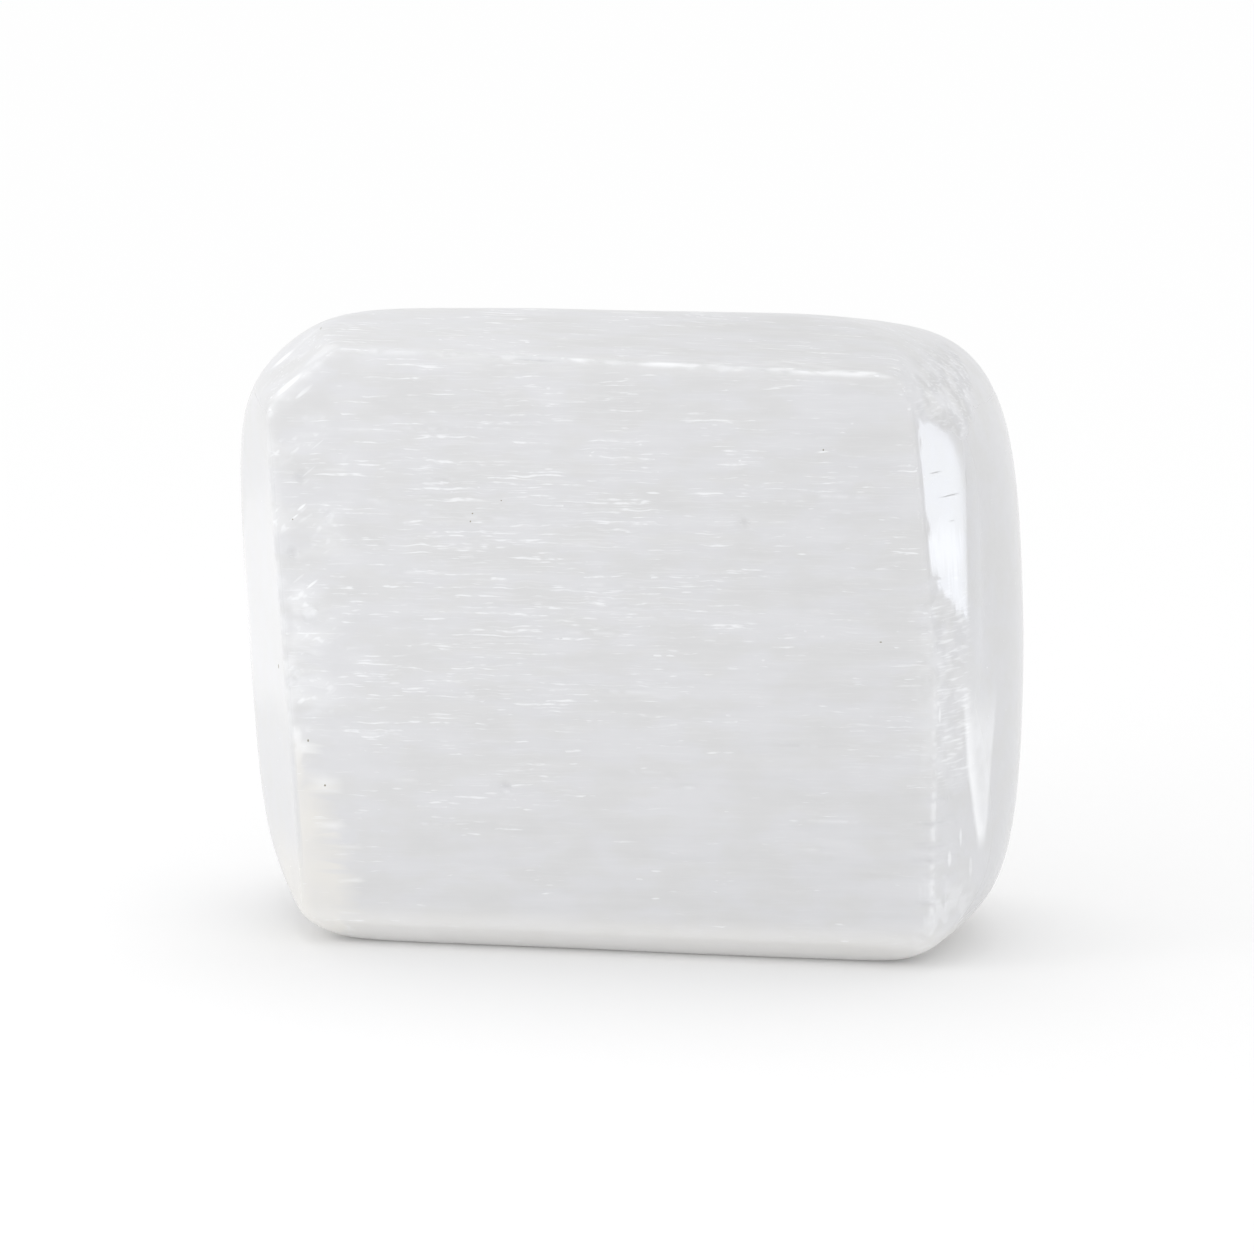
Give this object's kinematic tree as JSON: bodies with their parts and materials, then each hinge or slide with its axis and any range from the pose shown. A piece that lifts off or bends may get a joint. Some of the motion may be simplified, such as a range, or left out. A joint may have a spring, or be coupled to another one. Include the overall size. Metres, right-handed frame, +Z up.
{
  "type": "tumbled selenite stone",
  "caption": "Tumbled satin-spar selenite: a milky, fibrous oblong block with worn ends, bevelled edges and a flat foot to stand on.",
  "frame": {"origin": "on the surface it stands on, under the middle of the stone's box", "axes": "+Z up, +X along the fibres towards the chamfered end, +Y from the broad front face to the back"},
  "size_m": [0.0342, 0.0164, 0.0268],
  "materials": {
    "selenite": "polished by tumbling, milky and translucent, with silky streaks along the fibres"
  },
  "bodies": {
    "root": {"selenite_stone": "selenite"}
  },
  "joints": []
}
